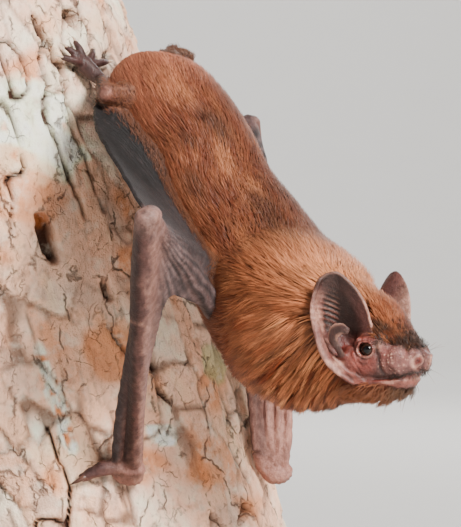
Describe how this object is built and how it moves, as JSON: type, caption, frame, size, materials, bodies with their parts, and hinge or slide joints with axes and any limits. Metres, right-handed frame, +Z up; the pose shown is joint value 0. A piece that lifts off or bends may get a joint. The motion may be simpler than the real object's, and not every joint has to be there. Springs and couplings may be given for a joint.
{
  "type": "noctule-type brown bat",
  "caption": "Life-size brown vesper bat clinging head-down to a short cut length of trunk, wings folded, head turned out, on a round display stand.",
  "frame": {"origin": "centre of the stand base's underside, on the floor", "axes": "+Z up, +X to the bat's head side across the picture, -Y towards the viewer and the bat's right side"},
  "size_m": [0.13, 0.13, 0.136],
  "materials": {
    "fur": "short glossy fur",
    "face_skin": "bare satin skin",
    "ear_skin": "bare satin skin",
    "arm_skin": "bare satin skin",
    "foot_skin": "bare satin skin",
    "membrane": "thin matt skin",
    "eye": "wet gloss",
    "bark": "rough bark",
    "stand_wood": "dark satin",
    "steel": "brushed"
  },
  "bodies": {
    "root": {"abdomen": "fur", "arm_membrane_L": "membrane", "arm_membrane_R": "membrane", "chest": "fur", "ear_L": "ear_skin", "ear_R": "ear_skin", "eye_L": "eye", "eye_R": "eye", "folded_fingers_L": "arm_skin", "folded_fingers_R": "arm_skin", "foot_L": "foot_skin", "foot_R": "foot_skin", "forearm_L": "arm_skin", "forearm_R": "arm_skin", "head": "fur", "lower_jaw": "face_skin", "neck": "fur", "perch_log": "bark", "shank_L": "arm_skin", "shank_R": "arm_skin", "stand_base": "stand_wood", "stand_rod_left": "steel", "stand_rod_right": "steel", "tail": "membrane", "tail_membrane_L": "membrane", "tail_membrane_R": "membrane", "thigh_L": "arm_skin", "thigh_R": "arm_skin", "thumb_L": "arm_skin", "thumb_R": "arm_skin", "tragus_L": "ear_skin", "tragus_R": "ear_skin", "upper_arm_L": "arm_skin", "upper_arm_R": "arm_skin", "wing_membrane_L": "membrane", "wing_membrane_R": "membrane", "wrist_L": "arm_skin", "wrist_R": "arm_skin"}
  },
  "joints": []
}
